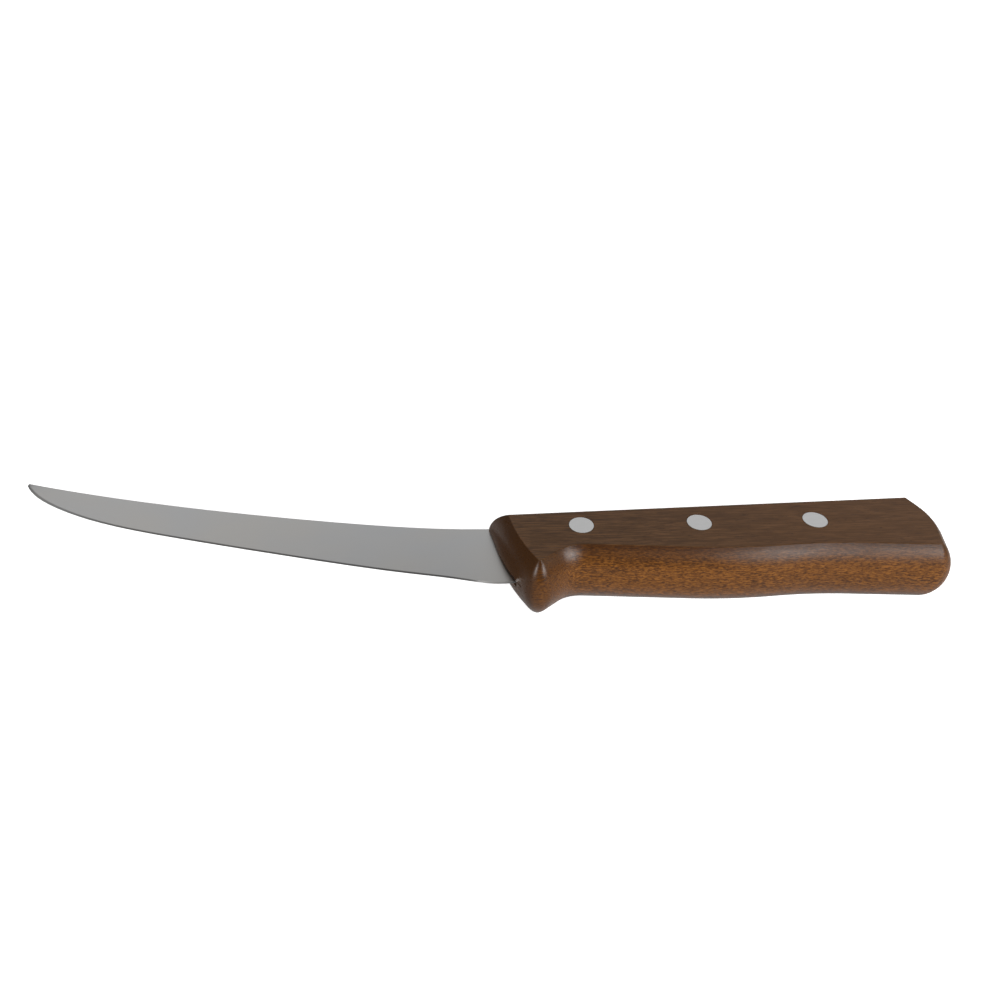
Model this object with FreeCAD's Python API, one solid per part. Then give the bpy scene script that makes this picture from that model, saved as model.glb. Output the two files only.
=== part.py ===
"""Curved boning knife: a ground steel blade whose tang sits in a saw slot of a one-piece wooden
handle, held by three cutlery rivets, each a solid stud pressed into a tubular barrel.

Millimetres. The knife lies on the flat side of its handle, as it does on a table: +X runs from
the tip to the butt, +Y from the cutting edge to the spine, and +Z up through the thickness.
Shapes are drawn with x and y measured from the axis of the front rivet, then moved so that the
origin is the centre of the knife's bounding box, on the table.
"""
import FreeCAD, Part
import math
import os

V = FreeCAD.Vector

# ---- Handle -------------------------------------------------------------------------------------
HANDLE_THICKNESS = 19.2
MID_Z = HANDLE_THICKNESS / 2
ROUND_DEPTH = 4.4        # how far the round-over runs in from the outline, all the way round
SPINE_SLOPE = 0.0355     # rise of the handle's spine towards the butt
SPINE_AT_RIVET = 10.5    # height of that spine above the front rivet's axis
MITRE_SOFTENING = 0.4    # radius on the ridges at the two upper corners
ARRIS_RADIUS = 0.35      # where the flat sides meet the round-over

# Widest outline of the handle, at half thickness, anticlockwise from the upper front corner:
# corner x, corner y, radius. A zero radius is a sharp corner, where the round-overs meet in a mitre.
HANDLE_OUTLINE = [
    (-25.5, SPINE_AT_RIVET - 25.5 * SPINE_SLOPE, 0.0),   # front, at the blade's spine
    (-21.8, -8.0, 60.0),                                 # front face leans back
    (-14.5, -21.65, 5.0),                                # beak that guards the finger
    (-3.1, -12.4, 8.0),                                  # finger notch
    (42.0, -15.9, 160.0),                                # belly
    (67.0, -14.2, 150.0),                                # waist
    (102.2, -16.65, 5.5),                                # lower corner of the butt
    (106.25, 0.8, 22.0),                                 # rounded butt
    (101.1, SPINE_AT_RIVET + 101.1 * SPINE_SLOPE, 0.0),  # upper corner of the butt
]

# ---- Tang and its slot --------------------------------------------------------------------------
TANG_THICKNESS = 2.0
TANG_END = 76.0
TANG_END_RADIUS = 6.0
TANG_SETBACK = 0.8       # front of the tang behind the front of the wood
SLOT_CLEARANCE = 0.05    # each side of the tang
SLOT_END_GAP = 0.3       # beyond and below the tang
TANG_LOWER = [(-30.0, -12.8), (-12.0, -12.8), (-3.0, -6.0), (TANG_END, -4.2)]
# The saw leaves a fine scratch line on the front of the wood, on from the slot's upper wall.
SAW_LINE_WIDTH = 0.3
SAW_LINE_DEPTH = 0.5
SAW_LINE_END = -15.4

# ---- Blade --------------------------------------------------------------------------------------
# The spine and the cutting edge each run as a smooth curve through these points, handle to tip.
SPINE_POINTS = [(-17.0, 9.9), (-36.7, 10.3), (-63.1, 13.65), (-99.3, 20.35), (-135.4, 28.75), (-167.4, 38.2)]
EDGE_POINTS = [
    (-17.0, -12.6),
    (-28.4, -12.1),
    (-37.0, -10.0),
    (-45.1, -8.3),
    (-78.9, -0.05),
    (-114.3, 9.75),
    (-139.4, 18.05),
    (-155.7, 26.4),
    (-164.6, 33.5),
    (-167.7, 37.5),
]
SECTIONS = 25
SPINE_HALF_THICKNESS = (1.0, 0.36)      # at the handle, at the tip
GRIND_HALF_THICKNESS = (0.35, 0.20)     # at the lower edge: heel, ground blade
GRIND_START = (0.05, 0.14)              # fractions of the length over which the grind runs in
BEVEL_WIDTH = (0.35, 0.55, 0.80)        # of the cutting bevel: heel, along the blade, tip
TIP_BEVEL_START = 0.75                  # fraction of the length where the bevel starts to widen

# ---- Rivets -------------------------------------------------------------------------------------
RIVET_PITCH = 33.5
RIVET_PLACES = {"front": 0.0, "middle": RIVET_PITCH, "rear": 2 * RIVET_PITCH}
HEAD_RADIUS = 3.5
HEAD_THICKNESS = 1.6
HEAD_EDGE = 0.05         # chamfer round each head
HEAD_FIT = 0.08          # radial clearance of the head in the wood
BARREL_RADIUS = 2.4
STUD_RADIUS = 1.5
STUD_TIP_GAP = 0.8       # between the stud's end and the bottom of the barrel's bore
RIVET_FIT = 0.02         # radial clearance of the stud in the barrel
HOLE_FIT = 0.05          # radial clearance of the rivet in the wood and the tang


def stations(corners):
    """Places where straight runs and arcs meet: point, inward direction, centre of the arc after it.

    The inward direction is as long as the outline must be moved along it to move by one.
    """
    places = []
    for i, (x, y, radius) in enumerate(corners):
        here = V(x, y, 0)
        along_in = (here - V(*corners[i - 1][:2], 0)).normalize()
        along_out = (V(*corners[(i + 1) % len(corners)][:2], 0) - here).normalize()
        inward_in = V(-along_in.y, along_in.x, 0)
        inward_out = V(-along_out.y, along_out.x, 0)
        mitre = (inward_in + inward_out) / (1 + inward_in.dot(inward_out))
        if radius == 0:
            places.append((here, mitre, None))
            continue
        side = 1 if along_in.cross(along_out).z > 0 else -1
        reach = radius * math.tan(along_in.getAngle(along_out) / 2)
        centre = here + mitre * (radius * side)
        places.append((here - along_in * reach, inward_in, centre))
        places.append((here + along_out * reach, inward_out, None))
    return places


def round_over(point, inward):
    """Edge profile at one station: a circular arc from the lower flat to the upper one."""
    bottom = V(ROUND_DEPTH, 0, 0)
    middle = V(0, MID_Z, 0)
    top = V(ROUND_DEPTH, HANDLE_THICKNESS, 0)
    curve = Part.Arc(bottom, middle, top).toBSpline()
    for i, pole in enumerate(curve.getPoles(), 1):
        curve.setPole(i, point + inward * pole.x + V(0, 0, pole.y))
    return curve.toShape()


def turn_between(first, second, centre):
    """Signed angle, in degrees, from one point to another about a vertical axis."""
    a = first - centre
    b = second - centre
    return math.degrees(math.atan2(a.cross(b).z, a.dot(b)))


def flat_side(places, z):
    """Flat side of the handle, inside the round-over."""
    edges = []
    for i, (point, inward, centre) in enumerate(places):
        next_point, next_inward, _ = places[(i + 1) % len(places)]
        start = point + inward * ROUND_DEPTH + V(0, 0, z)
        end = next_point + next_inward * ROUND_DEPTH + V(0, 0, z)
        if centre is None:
            edges.append(Part.makeLine(start, end))
            continue
        axis = centre + V(0, 0, z)
        turn = math.radians(turn_between(point, next_point, centre) / 2)
        arm = start - axis
        cross_arm = V(-arm.y, arm.x, 0)
        halfway = axis + arm * math.cos(turn) + cross_arm * math.sin(turn)
        edges.append(Part.Arc(start, halfway, end).toShape())
    return Part.Face(Part.Wire(edges))


def handle_blank():
    """The shaped wood before it is slotted and drilled: flat sides and one round-over all round."""
    places = stations(HANDLE_OUTLINE)
    faces = [flat_side(places, 0), flat_side(places, HANDLE_THICKNESS)]
    for i, (point, inward, centre) in enumerate(places):
        next_point, next_inward, _ = places[(i + 1) % len(places)]
        profile = round_over(point, inward)
        if centre is None:
            faces.append(Part.makeRuledSurface(profile, round_over(next_point, next_inward)))
        else:
            faces.append(profile.revolve(centre, V(0, 0, 1), turn_between(point, next_point, centre)))
    shell = Part.makeCompound(faces)
    shell.sewShape()
    solid = Part.makeSolid(shell.Shells[0])
    if solid.Volume < 0:
        solid.reverse()
    solid = solid.makeFillet(MITRE_SOFTENING, mitre_ridges(solid, places))
    return solid.makeFillet(ARRIS_RADIUS, arrises(solid))


def mitre_ridges(solid, places):
    """Edges where two round-overs meet in a ridge instead of running on smoothly."""
    sharp = [point + V(0, 0, MID_Z) for point, inward, _ in places if inward.Length > 1.01]
    ridges = []
    for edge in solid.Edges:
        on_corner = any(edge.distToShape(Part.Vertex(corner))[0] < 0.001 for corner in sharp)
        if on_corner and edge.BoundBox.ZLength > MID_Z:
            ridges.append(edge)
    return ridges


def arrises(solid):
    """Edges round both flat sides."""
    return [edge for edge in solid.Edges if edge.BoundBox.ZLength < 0.001]


def plate(points, thickness):
    """Flat plate about the mid-plane, from its outline's (x, y) points."""
    low = MID_Z - thickness / 2
    wire = Part.makePolygon([V(x, y, low) for x, y in points + points[:1]])
    return Part.Face(wire).extrude(V(0, 0, thickness))


def spine_height(x):
    return SPINE_AT_RIVET + SPINE_SLOPE * x


def tang_outline(gap):
    """Outline of the tang, or of its slot when a gap is added at the end and below."""
    lower = [(x, y - gap) for x, y in TANG_LOWER[:-1]]
    end = (TANG_END + gap, TANG_LOWER[-1][1] - gap)
    return lower + [end]


def tang():
    """Flat tang, flush with the wood along the handle's spine and a little inside it at the front."""
    above = spine_height(TANG_END) + 5
    outline = tang_outline(0) + [(TANG_END, above), (TANG_LOWER[0][0], above)]
    within = handle_blank()
    solid = plate(outline, TANG_THICKNESS).common(within).common(within.translated(V(TANG_SETBACK, 0, 0)))
    end_edges = []
    for edge in solid.Edges:
        centre = edge.CenterOfMass
        across = edge.BoundBox.ZLength > TANG_THICKNESS / 2
        if across and abs(centre.x - TANG_END) < 0.01 and centre.y < 0:
            end_edges.append(edge)
    return solid.makeFillet(TANG_END_RADIUS, end_edges)


def slot():
    above = spine_height(TANG_END) + 5
    outline = tang_outline(SLOT_END_GAP) + [(TANG_END + SLOT_END_GAP, above), (TANG_LOWER[0][0], above)]
    return plate(outline, TANG_THICKNESS + 2 * SLOT_CLEARANCE)


def saw_line():
    """Cutter for the fine line on the front of the wood below the blade's heel."""
    above, below = HANDLE_OUTLINE[1], HANDLE_OUTLINE[2]
    outline = []
    for y, depths in ((TANG_LOWER[0][1], (SAW_LINE_DEPTH, -1)), (SAW_LINE_END, (-1, SAW_LINE_DEPTH))):
        front = between((above[0], below[0]), (y - above[1]) / (below[1] - above[1]))
        outline += [(front + depth, y) for depth in depths]
    wall = TANG_THICKNESS / 2 + SLOT_CLEARANCE
    return plate(outline, SAW_LINE_WIDTH).translated(V(0, 0, wall - SAW_LINE_WIDTH / 2))


def smooth_curve(points):
    curve = Part.BSplineCurve()
    curve.interpolate([V(x, y, MID_Z) for x, y in points])
    return curve


def along(curve, fraction):
    first = curve.FirstParameter
    last = curve.LastParameter
    return curve.value(first + (last - first) * fraction)


def eased(fraction, start, end):
    """Rises smoothly from 0 at start to 1 at end."""
    t = min(max((fraction - start) / (end - start), 0), 1)
    return t * t * (3 - 2 * t)


def between(ends, fraction):
    return ends[0] + (ends[1] - ends[0]) * fraction


def blade_section(spine, edge, fraction):
    """Closed cross-section of the blade: spine, two flanks and the two cutting bevels."""
    ground = eased(fraction, *GRIND_START)
    spine_half = between(SPINE_HALF_THICKNESS, fraction)
    grind_half = between(GRIND_HALF_THICKNESS, ground)
    at_tip = eased(fraction, TIP_BEVEL_START, 1)
    width = between(BEVEL_WIDTH[:2], ground) + (BEVEL_WIDTH[2] - BEVEL_WIDTH[1]) * at_tip
    height = (spine - edge).Length
    width = min(width, height / 2)
    shoulder = edge + (spine - edge) * (width / height)
    corners = [
        spine + V(0, 0, spine_half),
        shoulder + V(0, 0, grind_half),
        edge,
        shoulder - V(0, 0, grind_half),
        spine - V(0, 0, spine_half),
    ]
    return Part.makePolygon(corners + corners[:1])


def blade():
    spine = smooth_curve(SPINE_POINTS)
    edge = smooth_curve(EDGE_POINTS)
    sections = []
    for i in range(SECTIONS):
        fraction = i / (SECTIONS - 1)
        sections.append(blade_section(along(spine, fraction), along(edge, fraction), fraction))
    ground = Part.makeLoft(sections, True, False)
    solid = ground.fuse(tang()).removeSplitter()
    for x in RIVET_PLACES.values():
        solid = solid.cut(bore(x, BARREL_RADIUS + HOLE_FIT, 0, HANDLE_THICKNESS))
    return solid


def bore(x, radius, low, high):
    return Part.makeCylinder(radius, high - low, V(x, 0, low))


def handle():
    solid = handle_blank().cut(slot()).cut(saw_line())
    upper_seat = HANDLE_THICKNESS - HEAD_THICKNESS
    for x in RIVET_PLACES.values():
        solid = solid.cut(bore(x, BARREL_RADIUS + HOLE_FIT, -1, HANDLE_THICKNESS + 1))
        solid = solid.cut(bore(x, HEAD_RADIUS + HEAD_FIT, -1, HEAD_THICKNESS))
        solid = solid.cut(bore(x, HEAD_RADIUS + HEAD_FIT, upper_seat, HANDLE_THICKNESS + 1))
    return solid


def rivet_head(x, low, outer):
    """Round head from z = low upwards, chamfered round its outer face at z = outer."""
    head = bore(x, HEAD_RADIUS, low, low + HEAD_THICKNESS)
    rim = [edge for edge in head.Edges if abs(edge.BoundBox.ZMin - outer) + edge.BoundBox.ZLength < 0.001]
    return head.makeChamfer(HEAD_EDGE, rim)


def rivet_barrel(x):
    """Lower half: a head with a tube that the stud is pressed into."""
    top = HANDLE_THICKNESS - HEAD_THICKNESS
    solid = rivet_head(x, 0, 0).fuse(bore(x, BARREL_RADIUS, HEAD_THICKNESS / 2, top))
    return solid.cut(bore(x, STUD_RADIUS + RIVET_FIT, HEAD_THICKNESS, top)).removeSplitter()


def rivet_stud(x):
    """Upper half: a head on a solid stem."""
    seat = HANDLE_THICKNESS - HEAD_THICKNESS
    stem = bore(x, STUD_RADIUS, HEAD_THICKNESS + STUD_TIP_GAP, seat)
    return rivet_head(x, seat, HANDLE_THICKNESS).fuse(stem).removeSplitter()


def main():
    parts = {"blade": blade(), "handle": handle()}
    for place, x in RIVET_PLACES.items():
        parts[place + "_rivet_barrel"] = rivet_barrel(x)
        parts[place + "_rivet_stud"] = rivet_stud(x)
    box = FreeCAD.BoundBox()
    for shape in parts.values():
        box.add(shape.optimalBoundingBox(False))
    origin = V(-box.Center.x, -box.Center.y, 0)
    os.makedirs("parts", exist_ok=True)
    for name, shape in parts.items():
        shape.translate(origin)
        shape.exportStep("parts/" + name + ".step")
        print(name, "valid", shape.isValid(), "solids", len(shape.Solids), "volume", round(shape.Volume, 1))
    print("front rivet at", round(origin.x, 3), round(origin.y, 3), "size", box.XLength, box.YLength)


main()
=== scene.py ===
"""Boning knife: looks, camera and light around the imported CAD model. Metres, in the model's own frame."""

import math

import bpy
from mathutils import Matrix, Vector


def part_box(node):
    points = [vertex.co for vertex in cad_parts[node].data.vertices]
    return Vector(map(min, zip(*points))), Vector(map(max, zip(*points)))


MM = 0.001

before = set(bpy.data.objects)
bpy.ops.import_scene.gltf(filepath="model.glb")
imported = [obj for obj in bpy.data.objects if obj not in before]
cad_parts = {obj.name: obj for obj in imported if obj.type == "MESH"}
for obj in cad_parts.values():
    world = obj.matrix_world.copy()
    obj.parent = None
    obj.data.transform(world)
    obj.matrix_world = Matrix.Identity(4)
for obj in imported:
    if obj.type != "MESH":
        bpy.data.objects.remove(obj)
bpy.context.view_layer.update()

# ---- Node helpers -------------------------------------------------------------------------------
# A mix node has sockets for each kind of value. These are the numbers of those for colours.
MIX_FIRST = 6
MIX_SECOND = 7
MIX_RESULT = 2


def rgb(red, green, blue):
    return (red, green, blue, 1.0)


class Nodes:
    """A node tree under construction."""

    def __init__(self, tree):
        self.tree = tree

    def add(self, kind, **settings):
        node = self.tree.nodes.new(kind)
        for key, value in settings.items():
            setattr(node, key, value)
        return node

    def join(self, source, target):
        self.tree.links.new(source, target)

    def put(self, value, target):
        """Sets a socket to a number or colour, or links it when the value is another socket."""
        if isinstance(value, bpy.types.NodeSocket):
            self.join(value, target)
        else:
            target.default_value = value

    def math(self, operation, first, second=0.0):
        node = self.add("ShaderNodeMath", operation=operation)
        self.put(first, node.inputs[0])
        self.put(second, node.inputs[1])
        return node.outputs[0]

    def split(self, vector):
        """The sockets X, Y and Z of a vector."""
        node = self.add("ShaderNodeSeparateXYZ")
        self.join(vector, node.inputs[0])
        return node.outputs

    def ramp(self, value, low, high, at_low=0.0, at_high=1.0):
        """Linear map from at_low, when the value is low, to at_high, when it is high, held beyond both."""
        node = self.add("ShaderNodeMapRange")
        self.put(value, node.inputs["Value"])
        node.inputs["From Min"].default_value = low
        node.inputs["From Max"].default_value = high
        node.inputs["To Min"].default_value = at_low
        node.inputs["To Max"].default_value = at_high
        return node.outputs["Result"]


class Shader(Nodes):
    """A node material under construction. Its place and facing are the object's coordinates and normal."""

    def __init__(self, name):
        self.material = bpy.data.materials.new(name)
        self.material.use_nodes = True
        super().__init__(self.material.node_tree)
        self.tree.nodes.clear()
        self.surface = self.add("ShaderNodeBsdfPrincipled")
        output = self.add("ShaderNodeOutputMaterial")
        self.join(self.surface.outputs["BSDF"], output.inputs["Surface"])
        coordinates = self.add("ShaderNodeTexCoord")
        self.place = coordinates.outputs["Object"]
        self.facing = coordinates.outputs["Normal"]

    def paint(self, name, value):
        """Sets or links one input of the surface."""
        self.put(value, self.surface.inputs[name])

    def stretched(self, size, shift=None, where=None):
        """Coordinates divided by a feature size per axis, in millimetres, then shifted."""
        node = self.add("ShaderNodeMapping")
        self.join(where or self.place, node.inputs["Vector"])
        node.inputs["Scale"].default_value = [1 / (length * MM) for length in size]
        if shift is not None:
            node.inputs["Location"].default_value = shift
        return node.outputs[0]

    def noise(self, vector, detail, rough=0.5, output="Fac"):
        node = self.add("ShaderNodeTexNoise")
        self.join(vector, node.inputs["Vector"])
        node.inputs["Scale"].default_value = 1.0
        node.inputs["Detail"].default_value = detail
        node.inputs["Roughness"].default_value = rough
        return node.outputs[output]

    def mix(self, factor, first, second):
        node = self.add("ShaderNodeMix", data_type="RGBA")
        self.put(factor, node.inputs["Factor"])
        self.put(first, node.inputs[MIX_FIRST])
        self.put(second, node.inputs[MIX_SECOND])
        return node.outputs[MIX_RESULT]

    def bump(self, height, depth_mm, strength):
        node = self.add("ShaderNodeBump")
        node.inputs["Strength"].default_value = strength
        node.inputs["Distance"].default_value = depth_mm * MM
        self.join(height, node.inputs["Height"])
        return node.outputs["Normal"]


# ---- Wood ---------------------------------------------------------------------------------------
# The WOOD colours are those of the flat sides, and of the pores everywhere. The SIDE colours are those
# of the rounded sides. They are partly the rounded sides' own flecked figure and partly painted light,
# more orange than the flat sides as if lit from the front. END_GRAIN is that of the front end and of the
# rounded sides at the beak.
WOOD_MEAN = rgb(0.074, 0.035, 0.0130)
WOOD_LIGHT = rgb(0.150, 0.073, 0.031)
WOOD_DARK = rgb(0.040, 0.019, 0.0090)
WOOD_WARM = rgb(0.130, 0.056, 0.020)
WOOD_PORE = rgb(0.022, 0.010, 0.005)
END_GRAIN = rgb(0.040, 0.0145, 0.0032)
SIDE_MEAN = rgb(0.100, 0.035, 0.0060)
SIDE_LIGHT = rgb(0.235, 0.088, 0.0150)
SIDE_DARK = rgb(0.026, 0.0080, 0.0018)
# Sizes of the figure along, across and through the handle, in millimetres.
DRIFT_SIZE = (30, 14, 14)
RING_SIZE = (60, 2.4, 4.0)
STREAK_SIZE = (9, 0.40, 0.40)
FIBRE_SIZE = (5, 0.26, 0.26)
PORE_SIZE = (2.2, 0.26, 0.26)
RIPPLE_SIZE = (0.95, 0.28, 0.28)
DASH_SIZE = (2.0, 0.26, 0.26)
DASH_SHIFT = (3, 7, 5)          # keeps the dashes from lining up with the pores
DRIFT_REACH = 2.6 * MM
# From the front rivet to the rear one the flat sides turn warmer and the polish duller.
FRONT_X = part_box("front_rivet_stud")[0].x
REAR_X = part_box("rear_rivet_stud")[1].x
# The rounded sides are darker towards the beak, most of all in front of this place.
BEAK_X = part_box("handle")[0].x + 10 * MM


def wood():
    """Oiled brown wood: quiet straight grain on the flat sides, warm flecked figure on the rounded ones,
    whose warmth is partly painted light.
    """
    look = Shader("oiled_brown_wood")
    # Slow waviness of the fibres: the coordinates across the grain drift along the handle.
    drift = look.noise(look.stretched(DRIFT_SIZE), detail=1.0, output="Color")
    wander = look.add("ShaderNodeVectorMath", operation="MULTIPLY_ADD")
    look.join(drift, wander.inputs[0])
    wander.inputs[1].default_value = (0.0, DRIFT_REACH, DRIFT_REACH)
    look.join(look.place, wander.inputs[2])
    fibre_place = wander.outputs[0]

    def figure(size, detail, rough, shift=None):
        """Noise that follows the wavy fibres."""
        return look.noise(look.stretched(size, shift, fibre_place), detail, rough)

    rings = figure(RING_SIZE, 3.0, 0.55)
    streaks = figure(STREAK_SIZE, 2.0, 0.5)
    fibres = figure(FIBRE_SIZE, 2.0, 0.6)
    pores = figure(PORE_SIZE, 1.0, 0.5)
    ripple = figure(RIPPLE_SIZE, 2.0, 0.6)
    dashes = figure(DASH_SIZE, 2.0, 0.55, DASH_SHIFT)

    along = look.split(look.place)["X"]
    rearward = look.ramp(along, FRONT_X, REAR_X)

    # Every noise varies about 0.5, so the limits of a ramp set how much of the surface it marks.
    flat = look.mix(look.ramp(rings, 0.32, 0.60, 0.45, 1.0), WOOD_DARK, WOOD_MEAN)
    flat = look.mix(look.ramp(streaks, 0.44, 0.62, 0.0, 0.60), flat, WOOD_LIGHT)
    flat = look.mix(look.ramp(fibres, 0.50, 0.34, 0.0, 0.75), flat, WOOD_DARK)
    flat = look.mix(look.math("MULTIPLY", rearward, 0.30), flat, WOOD_WARM)

    side = look.mix(look.ramp(rings, 0.36, 0.58, 0.50, 1.0), SIDE_DARK, SIDE_MEAN)
    side = look.mix(look.ramp(dashes, 0.45, 0.60, 0.0, 0.75), side, SIDE_LIGHT)
    side = look.mix(look.ramp(ripple, 0.49, 0.36, 0.0, 0.75), side, SIDE_DARK)
    side = look.mix(look.ramp(ripple, 0.55, 0.68, 0.0, 0.6), side, SIDE_LIGHT)

    # The flat sides are cut along the growth rings, the rounded ones across them. The rounded ones are also
    # painted more orange, as painted light from the front. Painted shade darkens the rounded sides at their
    # shoulder, just below the flat side.
    facing = look.split(look.facing)
    # Partly figure and partly painted light: where the surface faces front or back, it takes the more
    # orange rounded-side colours.
    across = look.ramp(look.math("ABSOLUTE", facing["Y"]), 0.42, 0.66)
    front_end = look.ramp(facing["X"], -0.25, -0.60, 0.0, 0.85)
    # Painted shade: the rounded sides turn towards SIDE_DARK as their surface tilts up towards the flat
    # side.
    shoulder_shade = look.ramp(look.math("ABSOLUTE", facing["Z"]), 0.36, 0.74, 0.0, 0.78)
    side = look.mix(shoulder_shade, side, SIDE_DARK)
    side = look.mix(look.ramp(along, BEAK_X, FRONT_X, 0.60, 0.0), side, END_GRAIN)
    tone = look.mix(front_end, look.mix(across, flat, side), END_GRAIN)
    pore_mask = look.ramp(pores, 0.36, 0.30, 0.0, 0.6)
    look.paint("Base Color", look.mix(pore_mask, tone, WOOD_PORE))

    rough = look.ramp(streaks, 0.3, 0.7, 0.34, 0.26)
    look.paint("Roughness", look.math("ADD", rough, look.math("MULTIPLY", rearward, 0.10)))
    look.paint("Specular IOR Level", 0.22)
    height = look.math("SUBTRACT", look.math("MULTIPLY", streaks, 0.4), pore_mask)
    look.paint("Normal", look.bump(height, 0.025, 0.5))
    return look.material


# ---- Metals -------------------------------------------------------------------------------------
STEEL_COOL = rgb(0.700, 0.705, 0.710)
STEEL_WARM = rgb(0.725, 0.712, 0.690)
STEEL_END_SHADE = rgb(0.05, 0.048, 0.045)
RIVET_WORN = rgb(0.90, 0.90, 0.895)
RIVET_BRIGHT = rgb(0.98, 0.98, 0.98)
RIVET_RIM = rgb(0.10, 0.085, 0.07)
# Sizes of the marks along, across and through the knife, in millimetres.
GRIND_SIZE = (0.10, 12, 12)
CLOUD_SIZE = (26, 18, 18)
SCRATCH_SIZE = (3.0, 0.12, 3.0)


def steel():
    """Satin steel, ground across the blade. What faces along the knife, as the tang's ends do, is painted
    dark as shade.
    """
    look = Shader("satin_blade_steel")
    grind = look.noise(look.stretched(GRIND_SIZE), detail=2.0)
    cloud = look.noise(look.stretched(CLOUD_SIZE), detail=1.0)
    # Painted shade: faces turned along the knife, such as the tang's ends in the slot, get a dark colour
    # and more roughness.
    end = look.ramp(look.math("ABSOLUTE", look.split(look.facing)["X"]), 0.60, 0.85)
    ground = look.mix(look.ramp(cloud, 0.35, 0.65), STEEL_COOL, STEEL_WARM)
    look.paint("Base Color", look.mix(end, ground, STEEL_END_SHADE))
    look.paint("Metallic", 1.0)
    rough = look.ramp(grind, 0.3, 0.7, 0.29, 0.31)
    look.paint("Roughness", look.math("ADD", rough, look.math("MULTIPLY", end, 0.35)))
    look.paint("Normal", look.bump(grind, 0.0005, 0.25))
    return look.material


def rivet_metal():
    """Pale rivet alloy, sanded along the handle, with a dull dark rim."""
    look = Shader("sanded_rivet_metal")
    scratch = look.noise(look.stretched(SCRATCH_SIZE), detail=2.0)
    rim = look.ramp(look.math("ABSOLUTE", look.split(look.facing)["Z"]), 0.98, 0.80)
    face = look.mix(look.ramp(scratch, 0.3, 0.7), RIVET_WORN, RIVET_BRIGHT)
    look.paint("Base Color", look.mix(rim, face, RIVET_RIM))
    look.paint("Metallic", 1.0)
    rough = look.ramp(scratch, 0.3, 0.7, 0.36, 0.46)
    look.paint("Roughness", look.math("ADD", rough, look.math("MULTIPLY", rim, 0.3)))
    look.paint("Normal", look.bump(scratch, 0.002, 0.4))
    return look.material


# ---- CAD nodes ----------------------------------------------------------------------------------
LARGEST_FACES_LEAD = 100        # weight of a large face's normal against a small one's; 50 is neutral


def dress(node, material, crease):
    """Puts a material on a CAD node and smooths its shading up to the crease angle, in degrees."""
    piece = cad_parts[node]
    piece.data.materials.clear()
    piece.data.materials.append(material)
    for polygon in piece.data.polygons:
        polygon.use_smooth = True
    piece.data.set_sharp_from_angle(angle=math.radians(crease))
    weighted = piece.modifiers.new("weighted_normal", "WEIGHTED_NORMAL")
    weighted.weight = LARGEST_FACES_LEAD
    weighted.keep_sharp = True


# Material and crease angle. Every node that isn't named here is half of a rivet.
LOOKS = {
    "handle": (wood(), 35),
    "blade": (steel(), 6),
}
RIVET_LOOK = (rivet_metal(), 30)
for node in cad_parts:
    dress(node, *LOOKS.get(node, RIVET_LOOK))

# ---- Floor --------------------------------------------------------------------------------------
WHITE = rgb(1, 1, 1)
FLOOR_HALF = 2.6
FLOOR_PALE = rgb(0.86, 0.86, 0.86)
# The floor's glow is weaker near the knife, where the shadow lies, and full from FULL_GLOW_FROM on.
WEAK_GLOW = 0.72
WEAK_GLOW_TO = 0.25
FULL_GLOW_FROM = 0.80


def floor_material():
    """White table top. Its glow is for the camera alone, and it lights the knife as a white board does."""
    look = Shader("pale_floor")
    look.paint("Base Color", FLOOR_PALE)
    look.paint("Roughness", 0.9)
    look.paint("Specular IOR Level", 0.0)
    look.paint("Emission Color", WHITE)
    seen = look.add("ShaderNodeLightPath").outputs["Is Camera Ray"]
    distance = look.add("ShaderNodeVectorMath", operation="LENGTH")
    look.join(look.place, distance.inputs[0])
    glow = look.ramp(distance.outputs["Value"], WEAK_GLOW_TO, FULL_GLOW_FROM, WEAK_GLOW, 1.0)
    look.paint("Emission Strength", look.math("MULTIPLY", seen, glow))
    return look.material


bpy.ops.mesh.primitive_plane_add(size=2 * FLOOR_HALF, location=(0, 0, 0))
floor = bpy.context.object
floor.name = "floor"
floor.data.materials.append(floor_material())


# ---- Camera -------------------------------------------------------------------------------------
def add_object(name, data):
    item = bpy.data.objects.new(name, data)
    bpy.context.scene.collection.objects.link(item)
    return item


low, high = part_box("front_rivet_stud")
FRONT_RIVET = Vector(((low.x + high.x) / 2, (low.y + high.y) / 2, high.z))
CAMERA_FROM_RIVET = Vector((-35.99, -173.07, 138.77)) * MM
CAMERA_YAW = math.radians(4.3)
CAMERA_DOWN = math.radians(36.725)
CAMERA_ROLL = math.radians(1.398)
FOCAL_MM = 28.8
SENSOR_MM = 36.0
NEAREST_SEEN = 10 * MM


def camera():
    """Camera above and in front of the knife, placed from the middle of the front rivet's head."""
    data = bpy.data.cameras.new("camera")
    data.lens = FOCAL_MM
    data.sensor_width = SENSOR_MM
    data.clip_start = NEAREST_SEEN
    item = add_object("camera", data)
    turn = Matrix.Rotation(-CAMERA_YAW, 4, "Z") @ Matrix.Rotation(math.pi / 2 - CAMERA_DOWN, 4, "X")
    roll = Matrix.Rotation(CAMERA_ROLL, 4, "Z")
    item.matrix_world = Matrix.Translation(FRONT_RIVET + CAMERA_FROM_RIVET) @ turn @ roll
    bpy.context.scene.camera = item


# ---- Light --------------------------------------------------------------------------------------
# The two softboxes stand at the same angle to the right and to the left. Angles are in degrees.
KEY_AZIMUTH = 46
KEY_ELEVATION = 29
KEY_DISTANCE = 0.9
KEY_HEIGHT = 0.34


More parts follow.
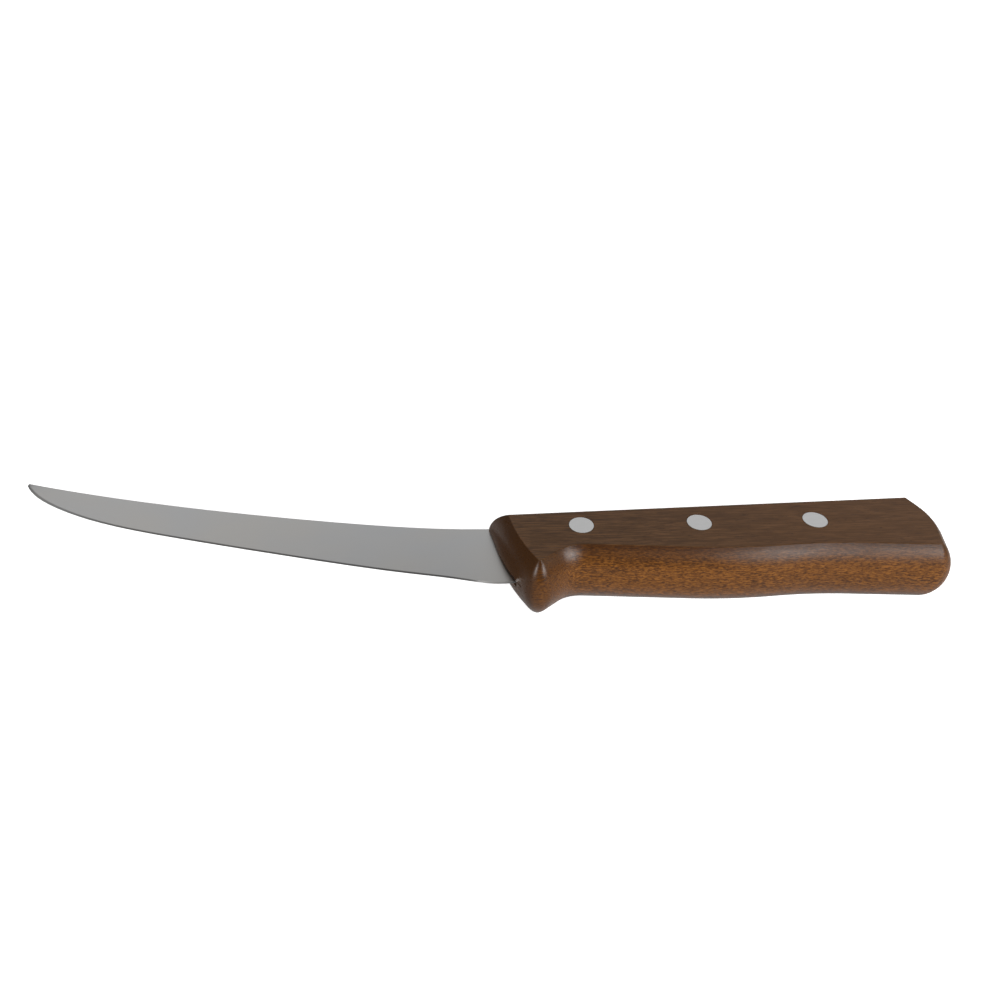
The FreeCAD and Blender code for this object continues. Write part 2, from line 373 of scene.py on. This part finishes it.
def softbox(name, azimuth, width, watts):
    """Area light aimed at the middle of the knife. Azimuth is from straight in front, towards the right."""
    data = bpy.data.lights.new(name, "AREA")
    data.shape = "RECTANGLE"
    data.size = width
    data.size_y = KEY_HEIGHT
    data.energy = watts
    around = math.radians(azimuth)
    up = math.radians(KEY_ELEVATION)
    away = Vector((math.sin(around) * math.cos(up), -math.cos(around) * math.cos(up), math.sin(up)))
    item = add_object(name, data)
    item.location = away * KEY_DISTANCE
    item.rotation_euler = away.to_track_quat("Z", "Y").to_euler()


ROOM_WALL = 0.53
ROOM_DARK = 0.22                # share of the wall's light that each fade leaves at its end
# For each axis, the component of a direction where the fade starts, and the one where it ends.
ROOM_FADES = (("X", -0.50, -0.70), ("Y", 0.42, -0.05), ("Z", 0.70, 0.83))


def surroundings():
    """A grey room with a broad pale wall behind the knife, darker overhead, to the left and in front.

    The camera sees plain white in its place.
    """
    world = bpy.data.worlds.new("room")
    bpy.context.scene.world = world
    world.use_nodes = True
    room = Nodes(world.node_tree)
    direction = room.split(room.add("ShaderNodeTexCoord").outputs["Generated"])
    shade = ROOM_WALL
    for axis, bright, dark in ROOM_FADES:
        fade = room.ramp(direction[axis], bright, dark, 1.0, ROOM_DARK)
        shade = room.math("MULTIPLY", fade, shade)
    background = room.tree.nodes["Background"]
    room.join(shade, background.inputs["Color"])
    backdrop = room.add("ShaderNodeBackground")
    backdrop.inputs["Color"].default_value = WHITE
    choose = room.add("ShaderNodeMixShader")
    room.join(room.add("ShaderNodeLightPath").outputs["Is Camera Ray"], choose.inputs[0])
    room.join(background.outputs[0], choose.inputs[1])
    room.join(backdrop.outputs[0], choose.inputs[2])
    room.join(choose.outputs[0], room.tree.nodes["World Output"].inputs["Surface"])


camera()
surroundings()
softbox("key_right", KEY_AZIMUTH, width=0.42, watts=7.0)
softbox("key_left", -KEY_AZIMUTH, width=0.26, watts=5.0)

scene = bpy.context.scene
scene.view_settings.view_transform = "Standard"
scene.view_settings.look = "None"
